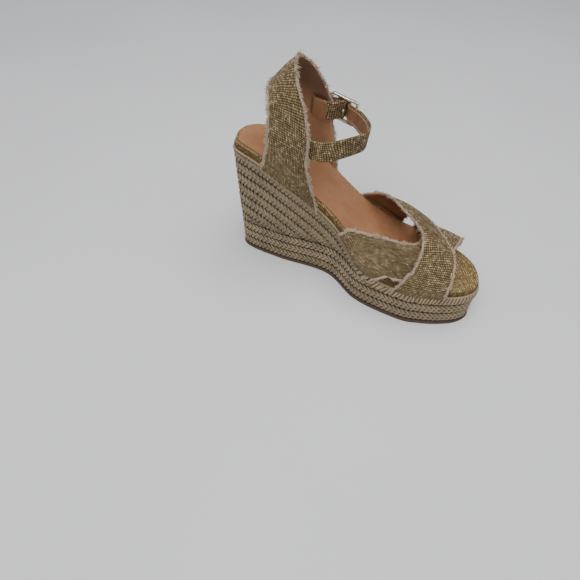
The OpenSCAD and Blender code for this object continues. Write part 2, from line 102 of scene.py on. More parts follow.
def top_z(x):
    """Height of the jute's top at x."""
    p = RISE_LINE
    x = np.clip(np.asarray(x, float), p[0, 0], p[-1, 0])
    i = np.clip(np.searchsorted(p[:, 0], x, side="right") - 1, 0, len(p) - 2)
    h = p[i + 1, 0] - p[i, 0]
    f = (x - p[i, 0]) / h
    slope = (p[i + 1, 1] - p[i, 1]) / h
    before, after = np.maximum(i - 1, 0), np.minimum(i + 2, len(p) - 1)
    m0 = np.where(i == 0, slope, (p[i + 1, 1] - p[before, 1]) / (p[i + 1, 0] - p[before, 0]))
    m1 = np.where(i == len(p) - 2, slope, (p[after, 1] - p[i, 1]) / (p[after, 0] - p[i, 0]))
    rise = ((1 + 2 * f) * (1 - f) ** 2 * p[i, 1] + f * (1 - f) ** 2 * h * m0
            + f * f * (3 - 2 * f) * p[i + 1, 1] - f * f * (1 - f) * h * m1)
    return PLATFORM_H + (HEEL_H - PLATFORM_H) * rise


def unit(v):
    return v / (np.linalg.norm(v, axis=-1, keepdims=True) + 1e-12)


def outward(s):
    """Outward normal of the top outline at shares s, level with the floor."""
    d = unit(on_loop(TOP_LINE, np.asarray(s) + 0.004) - on_loop(TOP_LINE, np.asarray(s) - 0.004))
    return np.stack([-d[:, 1], d[:, 0]], axis=1)


def outline(s, out=0.0):
    return on_loop(TOP_LINE, s) + outward(s) * np.reshape(out, (-1, 1))


def side_point(s, z, out):
    """Point on the sole's side at outline share s and height z, moved out."""
    top = on_loop(TOP_LINE, s)
    share = (z / top_z(top[:, 0]))[:, None]
    xy = on_loop(FLOOR_LINE, s) * (1 - share) + top * share + outward(s) * np.reshape(out, (-1, 1))
    return np.column_stack([xy, z])


ring_places = np.arange(68) / 68
corners = np.vstack([on_loop(FLOOR_LINE, ring_places), on_loop(TOP_LINE, ring_places)])
ORIGIN = np.append((corners.min(0) + corners.max(0)) / 2, 0.0)


def in_frame(p):
    """A point in the model's frame, in metres."""
    return (np.asarray(p, float) - ORIGIN) * MM


# ---- meshes ---------------------------------------------------------------------
def finish_piece(me, name, body, mat, smooth=True):
    """Makes the object of a finished mesh and hangs it on its body."""
    me.name = name
    me.materials.clear()
    me.materials.append(mat)
    if smooth:
        me.shade_smooth()
    ob = bpy.data.objects.new(name, me)
    bpy.context.scene.collection.objects.link(ob)
    if body:
        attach(ob, body)
    return ob


def merged(me, dist=1e-6):
    """Closes a mesh's seams and poles."""
    bm = bmesh.new()
    bm.from_mesh(me)
    bmesh.ops.remove_doubles(bm, verts=bm.verts, dist=dist)
    bmesh.ops.dissolve_degenerate(bm, edges=bm.edges, dist=1e-7)
    bm.to_mesh(me)
    bm.free()
    return me


def grids(count, across, along):
    """A mesh of flat grids, each with across by along faces, and where each vertex is: its shares across
    and along, and its grid."""
    bm = bmesh.new()
    for _ in range(count):
        bmesh.ops.create_grid(bm, x_segments=across, y_segments=along, size=0.5)
    me = bpy.data.meshes.new("grid")
    bm.to_mesh(me)
    bm.free()
    co = np.zeros(len(me.vertices) * 3)
    me.vertices.foreach_get("co", co)
    co = co.reshape(-1, 3)
    return me, co[:, 0] + 0.5, co[:, 1] + 0.5, np.repeat(np.arange(count), len(co) // count)


def set_in_frame(me, points, uv):
    """Places a mesh's vertices, and lays out its cloth or yarn in millimetres."""
    me.vertices.foreach_set("co", in_frame(points).ravel())
    layer = me.uv_layers.new(name="UVMap")
    corner = np.zeros(len(me.loops), int)
    me.loops.foreach_get("vertex_index", corner)
    layer.data.foreach_set("uv", (np.asarray(uv)[corner]).ravel())
    me.update()
    return me


def lengths(p):
    """Length along a row of points up to each."""
    return np.append(0, np.cumsum(np.linalg.norm(np.diff(p, axis=0), axis=1)))


def resampled(p, step):
    """Points about a step apart along a row of points."""
    s = lengths(p)
    n = max(2, int(round(s[-1] / step)) + 1)
    return np.column_stack([np.interp(np.linspace(0, s[-1], n), s, p[:, k]) for k in range(p.shape[1])])


def tangents(p, closed=False):
    if closed:
        return unit(np.roll(p, -1, axis=0) - np.roll(p, 1, axis=0))
    return unit(np.gradient(p, axis=0))


def tubes(paths, facing, wide, thick, sides, closed=False):
    """Mesh of one oval tube per path. facing holds the direction of each tube's thickness at each point;
    wide and thick are half sizes at each point."""
    rings = paths.shape[1]
    me, a, b, which = grids(len(paths), sides, rings - 1)
    row = np.rint(b * (rings - 1)).astype(int)
    lap = np.arange(rings) % (rings - 1)
    run = np.stack([tangents(p[:-1], True)[lap] if closed else tangents(p) for p in paths])
    side = unit(np.cross(facing, run))
    up = unit(np.cross(run, side))
    angle = 2 * np.pi * a
    wide, thick = np.broadcast_to(wide, paths.shape[:2]), np.broadcast_to(thick, paths.shape[:2])
    points = (paths[which, row] + side[which, row] * (np.cos(angle) * wide[which, row])[:, None]
              + up[which, row] * (np.sin(angle) * thick[which, row])[:, None])
    run_length = np.stack([lengths(p) for p in paths])
    girth = 2 * math.pi * float(np.max(wide))
    set_in_frame(me, points, np.column_stack([a * girth, run_length[which, row] + 37.0 * which]))
    me.attributes.new("crest", "FLOAT", "POINT").data.foreach_set("value", np.sin(angle).astype(np.float32))
    return merged(me)


def surface_mesh(m, n, surface):
    """Mesh of surface(across, along) in millimetres, and its cloth layout by true lengths."""
    me, v, t, _ = grids(1, n, m)
    points = surface(t, v)
    grid = points.reshape(m + 1, n + 1, 3)
    run = np.stack([lengths(grid[:, k]) for k in range(n + 1)], axis=1)
    over = np.stack([lengths(row) for row in grid])
    width = over[:, -1:]
    middle_run = run.mean(axis=1, keepdims=True).repeat(n + 1, 1)
    uv = np.column_stack([(over - width / 2).ravel(), middle_run.ravel()])
    set_in_frame(me, points, uv)
    layer = me.attributes.new("raw_edge", "FLOAT", "POINT")
    layer.data.foreach_set("value", np.minimum(over, width - over).ravel().astype(np.float32))
    return me, grid


def thickened(ob, thickness):
    """Gives a sheet its thickness on its inner side."""
    mod = ob.modifiers.new("thickness", "SOLIDIFY")
    mod.thickness = thickness * MM
    mod.offset = -1
    return ob


# ---- materials --------------------------------------------------------------------
class Finish:
    """A procedural material that is written as sums on its coordinates."""

    def __init__(self, name, **constants):
        self.mat = bpy.data.materials.new(name)
        self.mat.use_nodes = True
        self.tree = self.mat.node_tree
        self.tree.nodes.clear()
        self.shader = self.tree.nodes.new("ShaderNodeBsdfPrincipled")
        out = self.tree.nodes.new("ShaderNodeOutputMaterial")
        self.tree.links.new(self.shader.outputs[0], out.inputs[0])
        for key, value in constants.items():
            self.shader.inputs[key.replace("_", " ")].default_value = value

    def put(self, socket, value):
        if isinstance(value, bpy.types.NodeSocket):
            self.tree.links.new(value, socket)
        else:
            socket.default_value = value

    def do(self, op, a, b=0.0, c=0.0, clamp=False):
        n = self.tree.nodes.new("ShaderNodeMath")
        n.operation = op
        n.use_clamp = clamp
        for socket, value in zip(n.inputs, (a, b, c)):
            self.put(socket, value)
        return n.outputs[0]

    def uv(self):
        n = self.tree.nodes.new("ShaderNodeUVMap")
        n.uv_map = "UVMap"
        return n.outputs[0]

    def place(self):
        """Object coordinates in millimetres."""
        n = self.tree.nodes.new("ShaderNodeTexCoord")
        return self.scaled(n.outputs["Object"], (1000, 1000, 1000))

    def scaled(self, vector, by):
        n = self.tree.nodes.new("ShaderNodeVectorMath")
        n.operation = "MULTIPLY"
        self.put(n.inputs[0], vector)
        n.inputs[1].default_value = by
        return n.outputs[0]

    def parts(self, vector):
        n = self.tree.nodes.new("ShaderNodeSeparateXYZ")
        self.put(n.inputs[0], vector)
        return n.outputs

    def vector(self, x, y, z=0.0):
        n = self.tree.nodes.new("ShaderNodeCombineXYZ")
        for socket, value in zip(n.inputs, (x, y, z)):
            self.put(socket, value)
        return n.outputs[0]

    def noise(self, vector, scale, detail=2.0, roughness=0.5):
        n = self.tree.nodes.new("ShaderNodeTexNoise")
        self.put(n.inputs["Vector"], vector)
        n.inputs["Scale"].default_value = scale
        n.inputs["Detail"].default_value = detail
        n.inputs["Roughness"].default_value = roughness
        return n.outputs["Fac"]

    def dice(self, vector):
        n = self.tree.nodes.new("ShaderNodeTexWhiteNoise")
        self.put(n.inputs["Vector"], vector)
        return n.outputs["Value"]

    def cells(self, vector, scale):
        n = self.tree.nodes.new("ShaderNodeTexVoronoi")
        self.put(n.inputs["Vector"], vector)
        n.inputs["Scale"].default_value = scale
        return n.outputs["Distance"]

    def attribute(self, name):
        n = self.tree.nodes.new("ShaderNodeAttribute")
        n.attribute_name = name
        return n.outputs["Fac"]

    def between(self, value, low, high, to_low=0.0, to_high=1.0):
        n = self.tree.nodes.new("ShaderNodeMapRange")
        n.interpolation_type = "SMOOTHSTEP"
        for socket, x in zip(n.inputs, (value, low, high, to_low, to_high)):
            self.put(socket, x)
        return n.outputs[0]

    def ramp(self, value, stops):
        n = self.tree.nodes.new("ShaderNodeValToRGB")
        while len(n.color_ramp.elements) < len(stops):
            n.color_ramp.elements.new(0.5)
        for element, (position, colour) in zip(n.color_ramp.elements, stops):
            element.position = position
            element.color = (*colour, 1)
        self.put(n.inputs[0], value)
        return n.outputs[0]

    def mix(self, share, a, b, kind="MIX"):
        n = self.tree.nodes.new("ShaderNodeMix")
        n.data_type = "RGBA"
        n.blend_type = kind
        self.put(n.inputs[0], share)
        for socket, value in ((n.inputs[6], a), (n.inputs[7], b)):
            self.put(socket, value if isinstance(value, bpy.types.NodeSocket) else (*value, 1))
        return n.outputs[2]

    def bump(self, height, distance, strength=1.0):
        n = self.tree.nodes.new("ShaderNodeBump")
        n.inputs["Strength"].default_value = strength
        n.inputs["Distance"].default_value = distance * MM
        self.put(n.inputs["Height"], height)
        self.tree.links.new(n.outputs[0], self.shader.inputs["Normal"])

    def done(self, colour, roughness=None):
        self.put(self.shader.inputs["Base Color"], colour)
        if roughness is not None:
            self.put(self.shader.inputs["Roughness"], roughness)
        return self.mat


def woven(name, pitch_x, pitch_y, dark, mid, light, glint, edge=None, glints=0.9, skew=0.0, rim=False):
    """Plain weave of metallic yarn: each cell shows the yarn that lies on top."""
    g = Finish(name, Metallic=0.12, Roughness=0.6, Specular_IOR_Level=0.3)
    uv = g.uv()
    x, y = g.parts(uv)[0:2]
    x = g.do("MULTIPLY_ADD", g.noise(uv, 0.06, 2), 3.0, x)
    y = g.do("MULTIPLY_ADD", x, skew, y)
    y = g.do("MULTIPLY_ADD", g.noise(g.scaled(uv, (1.0, 1.3, 1.0)), 0.07, 2), 3.0, y)
    a, b = g.do("DIVIDE", x, pitch_x), g.do("DIVIDE", y, pitch_y)
    cell = g.vector(g.do("FLOOR", a), g.do("FLOOR", b))
    ra = g.do("ABSOLUTE", g.do("SINE", g.do("MULTIPLY", a, math.pi)))
    rb = g.do("ABSOLUTE", g.do("SINE", g.do("MULTIPLY", b, math.pi)))
    turn = g.do("FLOORED_MODULO", g.do("ADD", g.do("FLOOR", a), g.do("FLOOR", b)), 2.0)
    warp = g.do("MULTIPLY", g.do("POWER", ra, 0.7), g.do("MULTIPLY_ADD", rb, 0.6, 0.4))
    weft = g.do("MULTIPLY", g.do("POWER", rb, 0.7), g.do("MULTIPLY_ADD", ra, 0.6, 0.4))
    warp_part = g.do("MULTIPLY", warp, g.do("SUBTRACT", 1.0, turn))
    height = g.do("MULTIPLY_ADD", weft, turn, warp_part)
    chance = g.dice(cell)
    fibre = g.noise(g.scaled(uv, (5, 5, 5)), 1.0, 3, 0.7)
    tone = g.do("MULTIPLY_ADD", g.do("SUBTRACT", chance, 0.5), 0.36, height)
    tone = g.do("MULTIPLY_ADD", g.do("SUBTRACT", fibre, 0.5), 0.35, tone)
    colour = g.ramp(tone, [(0.25, dark), (0.62, mid), (1.0, light)])
    spark = g.do("MULTIPLY", g.between(chance, glints, glints + 0.05), g.between(height, 0.5, 0.8))
    colour = g.mix(spark, colour, glint)
    patchy = g.noise(g.place(), 0.035, 3)
    colour = g.mix(g.between(patchy, 0.35, 0.7, 0.0, 0.3), colour, (0.45, 0.36, 0.24), "MULTIPLY")
    # painted shade: the cloth's side round the footbed's rim, where the rim attribute is set, is multiplied
    # darker
    if rim:
        colour = g.mix(g.do("MULTIPLY", g.attribute("rim"), 0.8), colour, (0.42, 0.36, 0.27), "MULTIPLY")
    if edge:
        worn = g.do("MULTIPLY_ADD", g.noise(uv, 0.9, 2), -1.6, g.attribute("raw_edge"))
        colour = g.mix(g.between(worn, -0.5, 0.6, 0.8, 0.0), colour, edge)
    g.bump(g.do("MULTIPLY_ADD", fibre, 0.25, height), 0.6)
    return g.done(colour, g.between(chance, 0.6, 1.0, 0.68, 0.42))


def yarn(name, dark, light, gloss=0.78, groove_shade=0.0):
    """Twisted vegetable fibre that follows its own yarn, with painted shade on each strand's sides where it
    turns in under its neighbours.
    """
    g = Finish(name, Roughness=gloss, Sheen_Weight=0.25, Sheen_Roughness=0.5)
    uv = g.uv()
    x, y = g.parts(uv)[0:2]
    twist = g.do("MULTIPLY_ADD", y, 0.45, x)
    wave = g.do("SINE", g.do("MULTIPLY", g.do("MULTIPLY_ADD", g.noise(uv, 0.8, 2), 0.8, twist), 4.2))
    fibre = g.noise(g.vector(g.do("MULTIPLY", twist, 4.5), g.do("MULTIPLY", y, 0.7)), 1.0, 4, 0.65)
    place = g.place()
    blotch = g.noise(place, 0.09, 3)
    tone = g.do("MULTIPLY_ADD", wave, 0.16, g.do("MULTIPLY_ADD", blotch, 0.55, g.do("MULTIPLY", fibre, 0.75)))
    colour = g.ramp(tone, [(0.28, dark), (0.8, light)])
    # darker towards the floor: the yarn's lowest 14 mm is multiplied darker
    near_floor_darkening = g.between(g.parts(place)[2], 0.0, 14.0, 0.35, 0.0)
    colour = g.mix(near_floor_darkening, colour, (0.45, 0.36, 0.26), "MULTIPLY")
    if groove_shade:
        # painted shade: each strand is multiplied darker on its sides and underside, away from its crest
        side = g.do("MULTIPLY_ADD", fibre, 0.35, g.attribute("crest"))
        colour = g.mix(g.between(side, 0.35, 1.05, groove_shade, 0.0), colour, (0.20, 0.14, 0.08), "MULTIPLY")
    g.bump(g.do("MULTIPLY_ADD", fibre, 0.9, g.do("MULTIPLY", wave, 0.5)), 0.3)
    return g.done(colour)


# Heights over which the heel band's leather darkens: painted shade towards its top edge
TOP_SHADE_FROM, TOP_SHADE_TO = 122.0, 152.0


def leather(name, dark, light, gloss=0.5, grain=1.6, painted_top_shade=False):
    """Smooth leather with fine pores and soft creases, optionally with painted shade towards its top edge."""
    g = Finish(name, Roughness=gloss, Specular_IOR_Level=0.4)
    place = g.place()
    pores = g.cells(place, grain)
    soft = g.noise(place, 0.05, 4, 0.55)
    crease = g.noise(g.scaled(place, (0.5, 0.12, 0.5)), 1.0, 4, 0.6)
    tone = g.do("MULTIPLY_ADD", crease, 0.35, g.do("MULTIPLY", soft, 0.75))
    colour = g.ramp(tone, [(0.3, dark), (0.75, light)])
    colour = g.mix(g.between(pores, 0.0, 0.35, 0.22, 0.0), colour, (0.35, 0.25, 0.2), "MULTIPLY")
    if painted_top_shade:
        # painted shade: the leather is multiplied darker towards its top edge
        high = g.between(g.parts(place)[2], TOP_SHADE_FROM, TOP_SHADE_TO, 0.0, 1.0)
        colour = g.mix(high, colour, (0.33, 0.29, 0.27), "MULTIPLY")
    g.bump(g.do("MULTIPLY_ADD", crease, 0.7, g.do("MULTIPLY", pores, 0.35)), 0.16)
    return g.done(colour, g.between(soft, 0.3, 0.7, gloss + 0.08, gloss - 0.08))


CREAM = (0.56, 0.415, 0.275)
canvas = woven("gold_canvas", 1.45, 1.8, (0.028, 0.017, 0.006), (0.195, 0.132, 0.057), (0.45, 0.34, 0.178),
               (0.62, 0.50, 0.30), CREAM, 0.91)
# The footbed cloth takes painted shade on its side round the rim
footbed_cloth = woven("footbed_cloth", 1.3, 1.3, (0.05, 0.028, 0.006), (0.30, 0.195, 0.07),
                      (0.58, 0.42, 0.19), (0.80, 0.64, 0.36), None, 0.84, 0.5, True)
jute = yarn("jute_plait", (0.055, 0.036, 0.015), (0.42, 0.31, 0.165), groove_shade=0.95)
# The wedge's jute is a darker copy of the platform's jute: painted shade for the heel's side
jute_wedge_painted_shade = yarn("jute_wedge_plait", (0.042, 0.027, 0.011), (0.335, 0.245, 0.128), groove_shade=0.95)
jute_light = yarn("jute_wrap", (0.10, 0.062, 0.026), (0.50, 0.36, 0.20), groove_shade=0.8)
cotton = yarn("frayed_cotton", (0.34, 0.235, 0.145), (0.74, 0.585, 0.42), 0.85)
sock_leather = leather("sock_leather", (0.26, 0.112, 0.047), (0.37, 0.172, 0.08), 0.6)
lining_leather = leather("lining_leather", (0.17, 0.078, 0.036), (0.28, 0.135, 0.065), 0.6)
band_leather = leather("band_leather", (0.40, 0.215, 0.115), (0.54, 0.31, 0.175), 0.6, painted_top_shade=True)
patch_leather = leather("patch_leather", (0.24, 0.11, 0.05), (0.36, 0.175, 0.083), 0.5)
seam_thread = yarn("brown_thread", (0.03, 0.015, 0.008), (0.10, 0.052, 0.028), 0.8)


def plated_metal():
    g = Finish("pale_gold_plating", Metallic=1.0, Roughness=0.22)
    place = g.place()
    brushed = g.noise(g.scaled(place, (0.4, 3.0, 3.0)), 2.0, 3, 0.6)
    spots = g.noise(place, 0.6, 3)
    colour = g.ramp(spots, [(0.3, (0.78, 0.68, 0.52)), (0.7, (0.90, 0.83, 0.70))])
    g.bump(brushed, 0.02)
    return g.done(colour, g.between(brushed, 0.3, 0.7, 0.16, 0.32))


def sole_rubber():
    g = Finish("brown_rubber", Roughness=0.7)
    place = g.place()
    speck = g.noise(place, 1.5, 4, 0.6)
    colour = g.ramp(speck, [(0.3, (0.035, 0.02, 0.012)), (0.7, (0.085, 0.052, 0.032))])
    g.bump(speck, 0.15)
    return g.done(colour)


def cork():
    g = Finish("pressed_cork", Roughness=0.9)
    grains = g.cells(g.place(), 0.5)
    colour = g.ramp(grains, [(0.1, (0.12, 0.082, 0.044)), (0.7, (0.22, 0.155, 0.088))])
    g.bump(grains, 0.3)
    return g.done(colour)


metal = plated_metal()
rubber = sole_rubber()
wedge_cork = cork()


# ---- sole -------------------------------------------------------------------------
BRAID_PERIOD = 11.5
STRAND_HALF_W, STRAND_HALF_T = 1.6, 1.2
WEAVE_DEPTH, ROW_GAP = 0.85, 0.0
RINGS_PER_PERIOD = 12
PLATFORM_PERIOD = BRAID_PERIOD * 1.08
WEDGE_PITCH = (HEEL_H - PLATFORM_H) / WEDGE_ROWS
LEAST_BRAID = 1.6


def braid_paths(s, low, high, period, seed):
    """Paths, facings and half widths of three plaited strands, between heights low and high at places s."""
    draw = np.random.default_rng(seed)
    middle = side_point(s, (low + high) / 2, 0.0)
    face = np.column_stack([outward(s), np.zeros(len(s))])
    rise = unit(side_point(s, high, 0.0) - side_point(s, low, 0.0))
    half = (high - low) / 2
    run = lengths(middle)
    periods = max(1, round(run[-1] / period))
    turn = 2 * np.pi * run / run[-1] * periods
    wobble = sum(np.sin(turn / periods * k + draw.uniform(0, 6.28)) for k in (5, 9, 14)) / 3
    squeeze = np.clip(half / (WEDGE_PITCH / 2), 0.25, 1.2)
    turn = turn + 0.5 * wobble
    paths, wide = [], []
    for k in range(3):
        phase = turn + 2 * np.pi * k / 3
        reach = np.maximum(half - STRAND_HALF_W * squeeze - ROW_GAP, 0.3) * (1 + 0.05 * wobble)
        depth = -STRAND_HALF_T - WEAVE_DEPTH + WEAVE_DEPTH * np.sin(2 * phase) * squeeze
        paths.append(middle + rise * (reach * np.sin(phase))[:, None] + face * depth[:, None])
        wide.append(STRAND_HALF_W * squeeze * (1 + 0.06 * np.sin(phase * 3 + k)))
    return np.stack(paths), np.stack([face] * 3), np.stack(wide)


def outline_places(s0, s1, step):
    """Outline places from s0 to s1 about a step apart."""
    s = np.linspace(s0, s1, 1500)
    run = lengths(outline(s))
    n = int(run[-1] / step) + 1
    return np.interp(np.linspace(0, run[-1], n), run, s)


def braid(name, node, s, low, high, closed, period, seed, mat):
    paths, face, wide = braid_paths(s, low, high, period, seed)
    if not closed:
        wide[:, 0] = wide[:, -1] = 0.01
    me = tubes(paths, face, wide, wide * STRAND_HALF_T / STRAND_HALF_W, 10, closed)
    ob = finish_piece(me, name, "root", mat)
    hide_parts(node)
    return ob


def platform_top(s):
    x = outline(s)[:, 0]
    return np.where(x > BALL_X, top_z(x), np.minimum(top_z(x), PLATFORM_H))


for row in range(PLATFORM_ROWS):
    s = outline_places(0.0, 1.0, BRAID_PERIOD / RINGS_PER_PERIOD)
    pitch = (platform_top(s) - OUTSOLE_T) / PLATFORM_ROWS
    low = OUTSOLE_T + pitch * row
    braid(f"plait_platform_{row + 1}", f"platform_braid_{row + 1}", s, low + GAP, low + pitch - GAP,
          True, PLATFORM_PERIOD, 20 + row, jute)

for row in range(WEDGE_ROWS):
    s = outline_places(-0.5, 0.5, BRAID_PERIOD / RINGS_PER_PERIOD)
    x = outline(s)[:, 0]
    high = top_z(x) - row * WEDGE_PITCH
    keep = (x < BALL_X) & (high - PLATFORM_H > LEAST_BRAID)
    s, high = s[keep], high[keep]
    braid(f"plait_wedge_{row + 1}", f"wedge_braid_{row + 1}", s,
          np.maximum(high - WEDGE_PITCH, PLATFORM_H) + GAP, high - GAP, False, BRAID_PERIOD, 40 + row,
          jute_wedge_painted_shade)

# Pale yarn laid along the jute's top edge
s = outline_places(0.0, 1.0, 1.6)
edge = side_point(s, top_z(outline(s)[:, 0]) - 0.3, -1.1)
edge[-1] = edge[0]
up = np.tile([0.0, 0.0, 1.0], (len(edge), 1))
finish_piece(tubes(edge[None], up[None], 1.35, 0.95, 10, True), "edge_yarn", "root", jute_light)

# Wrapped stitches over the platform's top edge, round the toe
WRAP_STEP, WRAP_H, WRAP_FROM = 2.9, 8.2, 118.0
s = outline_places(0.25, 0.75, WRAP_STEP)
s = s[outline(s)[:, 0] > WRAP_FROM]
s = s + rng.uniform(-0.0005, 0.0005, len(s))
wraps, wrap_face = [], []
for place in s:
    lean = rng.uniform(0.008, 0.012)
    tall = WRAP_H * rng.uniform(0.8, 1.1)
    steps = np.linspace(0, 1, 9)
    around = place + lean * (steps - 0.2)
    top = top_z(outline(around)[:, 0])
    fall = np.interp(steps, [0, 0.2, 0.35, 1], [-0.9, -0.2, 0.9, tall])
    out = np.interp(steps, [0, 0.2, 0.35, 0.7, 1], [-3.0, -1.0, 0.15, 0.3, -0.9])
    wraps.append(side_point(around, top - fall, out))
    wrap_face.append(np.column_stack([outward(around), np.full(9, 0.6 * (steps < 0.3))]))
thin = np.array([0.01, 0.8, 1, 1, 1, 1, 1, 0.85, 0.01])
finish_piece(tubes(np.stack(wraps), unit(np.stack(wrap_face)), thin * 1.2, thin * 0.75, 7),
             "edge_wraps", "root", jute_light)


# ---- plates under the foot ------------------------------------------------------------
def centre_line(x):
    """Middle of the footbed at x."""
    s = np.linspace(0, 0.5, 200)
    outer, inner = outline(s), outline(1 - s)
    return (np.interp(x, outer[:, 0], outer[:, 1]) + np.interp(x, inner[:, 0], inner[:, 1])) / 2


SPINE_HEEL, SPINE_TOE = 16.0, 190.0


def plate(profile, z_at, shift=None, around=420):
    """Mesh of a plate: profile rows are inset from the outline, share of the way to the spine, and height."""
    me, v, t, _ = grids(1, len(profile) - 1, around)
    row = np.rint(v * (len(profile) - 1)).astype(int)
    inset, share, height = np.array(profile, float)[row].T
    edge = outline(t, -inset)
    if shift is not None:
        edge[:, 0] = shift(edge[:, 0])
    spine_x = np.clip(edge[:, 0], SPINE_HEEL, SPINE_TOE)
    spine = np.column_stack([spine_x, centre_line(spine_x)])
    xy = edge * (1 - share[:, None]) + spine * share[:, None]
    points = np.column_stack([xy, z_at(xy[:, 0]) + height])
    side = (share < 1e-6) & (inset < RIM_INSET + 0.53)
    run = lengths(outline(np.linspace(0, 1, around + 1)))
    wrap = np.interp(t, np.linspace(0, 1, around + 1), run)
    uv = np.where(side[:, None], np.column_stack([wrap, height + inset * 1.0]), xy)
    me = set_in_frame(me, points, uv)
    me.attributes.new("rim", "FLOAT", "POINT").data.foreach_set("value", side.astype(np.float32))
    return merged(me, 2e-6)


rim = RIM_INSET
cover_profile = [(rim + 0.9, 0, 0.15), (rim + 0.2, 0, 0.3), (rim - 0.2, 0, 1.2), (rim - 0.35, 0, 2.6),
                 (rim - 0.3, 0, 4.2), (rim, 0, 5.4), (rim + 0.5, 0, 6.0), (rim + 0.56, 0, 6.05),
                 (rim + 1.4, 0, 6.4), (rim + 2.6, 0, 6.5), (rim + 2.6, 0.12, 6.55), (rim + 2.6, 0.3, 6.62),
                 (rim + 2.6, 0.6, 6.7), (rim + 2.6, 1, 6.75)]
cover = finish_piece(plate(cover_profile, top_z), "footbed_cloth", "root", footbed_cloth)
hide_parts("insole_cover")


def sock_front(x):
    return np.where(x < SOCK_END, x, SOCK_END + (x - SOCK_END) * SOCK_BOW)


sock_in = RIM_INSET + SOCK_MARGIN
sock_h = COVER_TOP + SOCK_T
sock_profile = [(sock_in + 0.5, 0, sock_h - 1.0), (sock_in, 0, sock_h - 0.75),
                (sock_in + 0.05, 0, sock_h - 0.35), (sock_in + 0.35, 0, sock_h - 0.08),
                (sock_in + 1.0, 0, sock_h), (sock_in + 1.7, 0, sock_h - 0.12), (sock_in + 2.4, 0, sock_h),
                (sock_in + 2.4, 0.2, sock_h), (sock_in + 2.4, 0.5, sock_h + 0.05),
                (sock_in + 2.4, 1, sock_h + 0.1)]
sock = finish_piece(plate(sock_profile, top_z, sock_front), "sock_leather", "root", sock_leather)
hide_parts("sock_lining")


def outsole_mesh():
    profile = [(1.2, 1, 0.0), (1.2, 0, 0.0), (0.5, 0, 0.0), (0.0, 0, 0.35), (-0.15, 0, 1.2), (0.0, 0, 2.2),
               (0.8, 0, 2.35), (3.0, 0, 2.35)]
    me, v, t, _ = grids(1, len(profile) - 1, 420)
    row = np.rint(v * (len(profile) - 1)).astype(int)
    inset, share, height = np.array(profile, float)[row].T
    edge = on_loop(FLOOR_LINE, t) - outward(t) * inset[:, None]
    spine_x = np.clip(edge[:, 0], SPINE_HEEL, SPINE_TOE)
    xy = edge * (1 - share[:, None]) + np.column_stack([spine_x, centre_line(spine_x)]) * share[:, None]
    return merged(set_in_frame(me, np.column_stack([xy, height]), xy), 2e-6)


outsole = finish_piece(outsole_mesh(), "rubber_outsole", "root", rubber)
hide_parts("outsole")

# ---- upper ------------------------------------------------------------------------------
STRAP_OFF = CANVAS_T + GAP + LINING_T + BASE_GAP - RIM_INSET
END_FIT, END_FREE = 0.09, 0.38
half_turn = np.linspace(0, 0.5, 300)
outer_base = outline(half_turn, STRAP_OFF)
inner_base = outline(1 - half_turn, STRAP_OFF)


def base_point(x, side):
    line = inner_base if side < 0 else outer_base
    x = np.asarray(x, float)
    return np.stack([x, np.interp(x, line[:, 0], line[:, 1]), top_z(x) + GAP], axis=-1)


def rise_point(x, p, side):
    b = base_point(x + (p[0] - x) * RISE_H / p[2], side)
    return b + [0, 0, RISE_H]


def edge_curve(x_in, pattern, x_out):
    """An edge from its base on the inner side, over pattern points, to the outer side. A pattern point is
    x, y and the height over the jute."""
    p = np.array(pattern, float)
    over = np.column_stack([p[:, :2], p[:, 2] + top_z(p[:, 0])])
    return np.vstack([base_point(x_in, -1), rise_point(x_in, p[0], -1), over,
                      rise_point(x_out, p[-1], 1), base_point(x_out, 1)])


def end_share(t):
    return np.clip((END_FREE - t) / (END_FREE - END_FIT), 0, 1) ** 1.5


def off_line(xa, xb, v, side):
    v = v[:, None]
    straight = base_point(xa, side) * (1 - v) + base_point(xb, side) * v
    return base_point(xa + (xb - xa) * v[:, 0], side) - straight


def strap_surface(rear, front, crown):
    """surface(along, across) between two edges, crowned outward in its middle."""
    def surface(t, v):
        a, b = on_curve(rear, t), on_curve(front, t)
        c = (a + b) / 2
        lift = np.maximum(0, c[:, 2] - top_z(c[:, 0])) * 1.1 + 1
        out = unit(np.column_stack([np.zeros(len(c)), c[:, 1], lift]))
        w = v[:, None]
        p = a * (1 - w) + b * w
        p = p + off_line(a[:, 0], b[:, 0], v, -1) * end_share(t)[:, None]
        p = p + off_line(a[:, 0], b[:, 0], v, 1) * end_share(1 - t)[:, None]
        bulge = crown * 4 * v * (1 - v) * np.sin(np.pi * t)
        return p + out * bulge[:, None]
    return surface


def inside(surface, depth):
    """A surface moved inward by a depth."""
    def moved(t, v):
        d = 1e-3
        du = surface(np.clip(t + d, 0, 1), v) - surface(np.clip(t - d, 0, 1), v)
        dv = surface(t, np.clip(v + d, 0, 1)) - surface(t, np.clip(v - d, 0, 1))
        return surface(t, v) - unit(np.cross(dv, du)) * depth
    return moved


